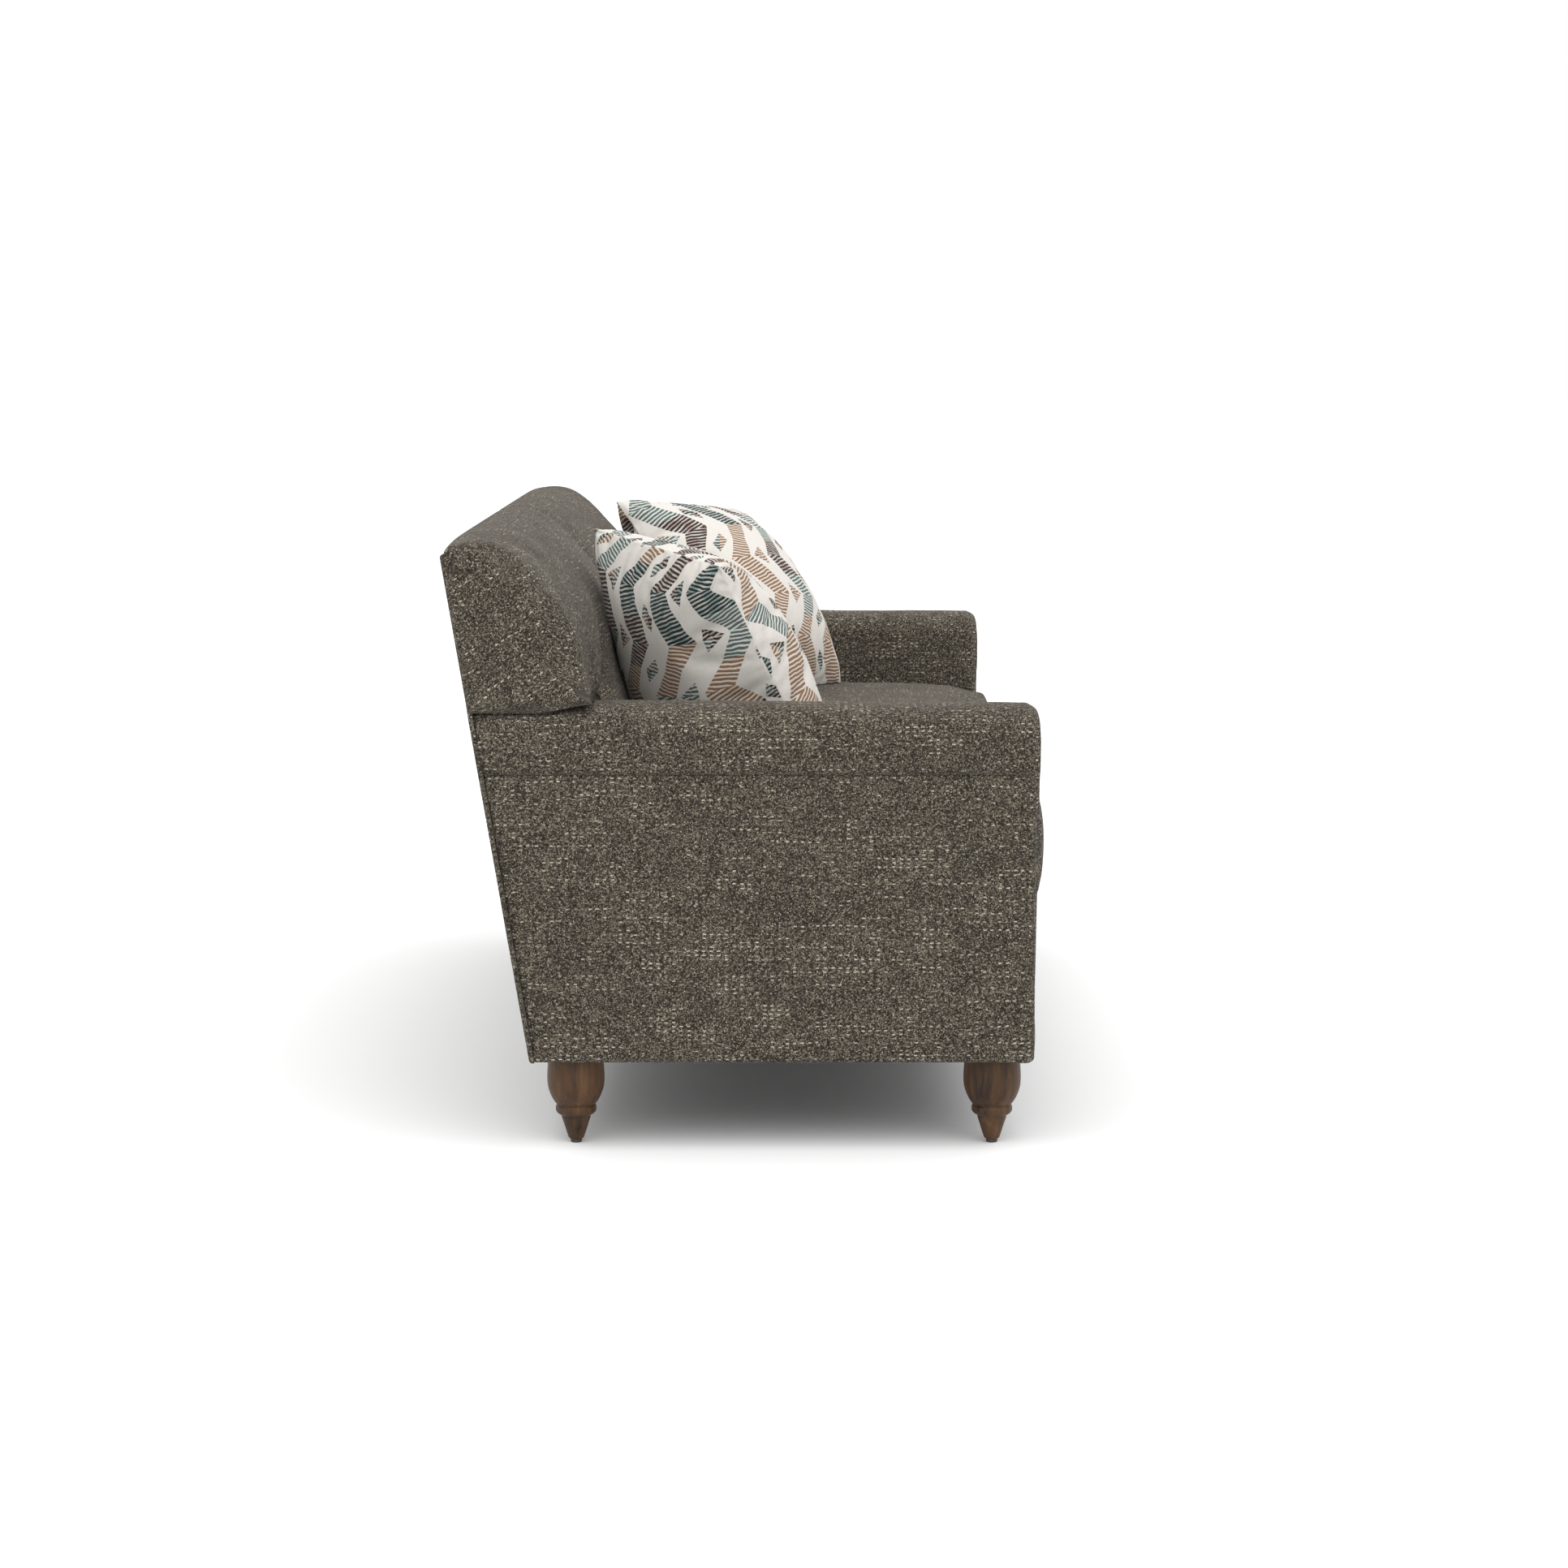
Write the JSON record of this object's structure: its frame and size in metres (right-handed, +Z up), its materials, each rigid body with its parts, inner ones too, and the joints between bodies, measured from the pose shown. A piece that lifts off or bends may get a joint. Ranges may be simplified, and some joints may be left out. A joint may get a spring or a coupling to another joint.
{
  "type": "english roll arm sofa",
  "caption": "Rolled-arm sofa with turned tapered legs, loose zipped seat cushions, a raked crowned padded back and loose throw pillows",
  "frame": {"origin": "on the floor at the middle of the footprint's bounding box", "axes": "+X along the sofa's length towards its right end as seen from the front, +Y towards the back, +Z up"},
  "size_m": [1.99, 0.932, 0.952],
  "materials": {
    "sofa_fabric": "matte tweed of brown-charcoal and greige yarns with short cream slubs",
    "print_fabric": "flecked oatmeal linen with a hatched band print",
    "lining": "plain black lining cloth and webbing",
    "foam": "open cell foam and fibre fill",
    "walnut": "satin walnut stain over straight vertical grain",
    "hardwood": "unfinished kiln dried hardwood",
    "steel": "plated steel",
    "glide": "matte nylon"
  },
  "bodies": {
    "root": {"arm_front_left": "sofa_fabric", "arm_front_right": "sofa_fabric", "arm_pad_left": "sofa_fabric", "arm_pad_right": "sofa_fabric", "arm_post_left": "hardwood", "arm_post_right": "hardwood", "arm_rail_left": "hardwood", "arm_rail_right": "hardwood", "back_centre_post": "hardwood", "back_lower_rail": "hardwood", "back_post_left": "hardwood", "back_post_right": "hardwood", "back_top_rail": "hardwood", "back_webbing": "lining", "corner_block_front_left": "hardwood", "corner_block_front_right": "hardwood", "corner_block_rear_left": "hardwood", "corner_block_rear_right": "hardwood", "dust_cover": "lining", "front_apron": "sofa_fabric", "front_rail": "hardwood", "glide_front_left": "glide", "glide_front_right": "glide", "glide_rear_left": "glide", "glide_rear_right": "glide", "hanger_bolt_front_left": "steel", "hanger_bolt_front_right": "steel", "hanger_bolt_rear_left": "steel", "hanger_bolt_rear_right": "steel", "inside_back_left": "sofa_fabric", "inside_back_right": "sofa_fabric", "leg_front_left": "walnut", "leg_front_right": "walnut", "leg_plate_front_left": "steel", "leg_plate_front_right": "steel", "leg_plate_rear_left": "steel", "leg_plate_rear_right": "steel", "leg_rear_left": "walnut", "leg_rear_right": "walnut", "outside_arm_left": "sofa_fabric", "outside_arm_right": "sofa_fabric", "outside_back": "sofa_fabric", "rear_rail": "hardwood", "seat_cross_rail": "hardwood", "seat_deck": "lining", "seat_springs_left": "steel", "seat_springs_right": "steel", "side_rail_left": "hardwood", "side_rail_right": "hardwood"},
    "seat_cushion_left": {"seat_cushion_cover_left": "sofa_fabric", "seat_cushion_core_left": "foam", "seat_cushion_zip_left": "lining"},
    "throw_pillow_left": {"pillow_cover_left": "print_fabric", "pillow_insert_left": "foam"},
    "seat_cushion_right": {"seat_cushion_cover_right": "sofa_fabric", "seat_cushion_core_right": "foam", "seat_cushion_zip_right": "lining"},
    "throw_pillow_right": {"pillow_cover_right": "print_fabric", "pillow_insert_right": "foam"}
  },
  "joints": [
    {"name": "seat_cushion_left_lift", "type": "slide", "parent": "root", "child": "seat_cushion_left", "axis": [0, 0, 1], "range_m": [0, 0.3]},
    {"name": "seat_cushion_right_lift", "type": "slide", "parent": "root", "child": "seat_cushion_right", "axis": [0, 0, 1], "range_m": [0, 0.3]},
    {"name": "throw_pillow_left_lift", "type": "slide", "parent": "seat_cushion_left", "child": "throw_pillow_left", "axis": [0, 0, 1], "range_m": [0, 0.3]},
    {"name": "throw_pillow_right_lift", "type": "slide", "parent": "seat_cushion_right", "child": "throw_pillow_right", "axis": [0, 0, 1], "range_m": [0, 0.3]}
  ]
}
